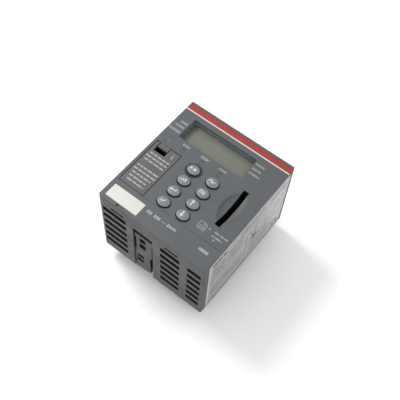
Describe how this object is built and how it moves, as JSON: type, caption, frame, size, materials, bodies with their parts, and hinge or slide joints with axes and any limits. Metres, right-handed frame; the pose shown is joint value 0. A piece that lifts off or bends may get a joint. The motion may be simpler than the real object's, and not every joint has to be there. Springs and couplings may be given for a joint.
{
  "type": "plc processor module",
  "caption": "Controller processor module with a recessed display, oval keypad, hinged battery door, card slot, vented side walls and two latches.",
  "frame": {"origin": "under the middle of the module, on the plane of the rear plugs' ends that it stands on when it lies on its back", "axes": "+Z out of the front face, +Y towards the red band at the top edge, +X to the right seen from the front"},
  "size_m": [0.0676, 0.076, 0.0634],
  "materials": {
    "casing": "fine spark-eroded grain, mid grey",
    "door": "fine spark-eroded grain, a little warmer grey",
    "keys": "satin, lighter grey, white print",
    "red_print": "satin printed film, red",
    "white_print": "printed film, white",
    "marker": "blank white marker plate",
    "type_plate": "silver-grey printed film",
    "display": "switched-off liquid crystal panel, grey-green",
    "black_plastic": "moulded, black",
    "light_guides": "smoked light guide",
    "key_mat": "silicone keypad",
    "boards": "green solder mask",
    "chips": "black moulded chip",
    "winding": "copper winding in a core",
    "cans": "sleeved capacitor",
    "cell": "sleeved lithium cell",
    "steel": "plain steel"
  },
  "bodies": {
    "case": {"housing_body": "casing", "front_cover": "casing", "rear_cover": "casing", "red_band": "red_print", "pinstripe": "white_print", "marker_plate": "marker", "type_plate": "type_plate", "display_panel": "display", "display_frame": "black_plastic", "run_key_ring": "black_plastic", "key_mat": "key_mat", "light_guide_power": "light_guides", "light_guide_run": "light_guides", "light_guide_error": "light_guides", "door_hinge_pin": "steel", "battery_tray": "black_plastic", "battery": "cell", "battery_contact_minus": "steel", "battery_contact_plus": "steel", "bottom_latch_pin": "steel", "top_latch_pin": "steel", "display_board": "boards", "processor_board": "boards", "power_board": "boards", "card_socket": "black_plastic", "upper_header": "black_plastic", "lower_header": "black_plastic", "processor": "chips", "memory_chip": "chips", "transformer": "winding", "inductor": "chips", "capacitor_input": "cans", "capacitor_output": "cans", "bus_plug": "black_plastic", "terminal_plug": "black_plastic", "supply_plug": "black_plastic", "board_screw_1": "steel", "board_screw_2": "steel", "board_screw_3": "steel", "board_screw_4": "steel"},
    "run_key": {"key_run": "keys"},
    "diagnosis_key": {"key_diagnosis": "keys"},
    "value_key": {"key_value": "keys"},
    "configure_key": {"key_configure": "keys"},
    "escape_key": {"key_escape": "keys"},
    "up_key": {"key_up": "keys"},
    "confirm_key": {"key_confirm": "keys"},
    "down_key": {"key_down": "keys"},
    "door": {"battery_door": "door"},
    "catch": {"door_catch": "casing"},
    "lower_latch": {"bottom_latch": "casing"},
    "upper_latch": {"top_latch": "casing"}
  },
  "joints": [
    {"name": "run_key_press", "type": "slide", "parent": "case", "child": "run_key", "axis": [0, 0, -1], "range_m": [0, 0.0008], "stiffness_N_per_m": 300},
    {"name": "diagnosis_key_press", "type": "slide", "parent": "case", "child": "diagnosis_key", "axis": [0, 0, -1], "range_m": [0, 0.0008], "stiffness_N_per_m": 300},
    {"name": "value_key_press", "type": "slide", "parent": "case", "child": "value_key", "axis": [0, 0, -1], "range_m": [0, 0.0008], "stiffness_N_per_m": 300},
    {"name": "configure_key_press", "type": "slide", "parent": "case", "child": "configure_key", "axis": [0, 0, -1], "range_m": [0, 0.0008], "stiffness_N_per_m": 300},
    {"name": "escape_key_press", "type": "slide", "parent": "case", "child": "escape_key", "axis": [0, 0, -1], "range_m": [0, 0.0008], "stiffness_N_per_m": 300},
    {"name": "up_key_press", "type": "slide", "parent": "case", "child": "up_key", "axis": [0, 0, -1], "range_m": [0, 0.0008], "stiffness_N_per_m": 300},
    {"name": "confirm_key_press", "type": "slide", "parent": "case", "child": "confirm_key", "axis": [0, 0, -1], "range_m": [0, 0.0008], "stiffness_N_per_m": 300},
    {"name": "down_key_press", "type": "slide", "parent": "case", "child": "down_key", "axis": [0, 0, -1], "range_m": [0, 0.0008], "stiffness_N_per_m": 300},
    {"name": "battery_door_hinge", "type": "hinge", "parent": "case", "child": "door", "pos_m": [-0.0238, -0.0243, 0.0612], "axis": [1, 0, 0], "range_deg": [0, 95]},
    {"name": "door_catch_bend", "type": "hinge", "parent": "case", "child": "catch", "pos_m": [-0.0262, 0.0102, 0.05915], "axis": [1, 0, 0], "range_deg": [0, 4.5], "stiffness_Nm_per_rad": 0.4},
    {"name": "lower_latch_rock", "type": "hinge", "parent": "case", "child": "lower_latch", "pos_m": [-0.0055, -0.0347, 0.025], "axis": [-1, 0, 0], "range_deg": [0, 5], "stiffness_Nm_per_rad": 1},
    {"name": "upper_latch_rock", "type": "hinge", "parent": "case", "child": "upper_latch", "pos_m": [-0.0055, 0.0347, 0.025], "axis": [1, 0, 0], "range_deg": [0, 5], "stiffness_Nm_per_rad": 1}
  ]
}
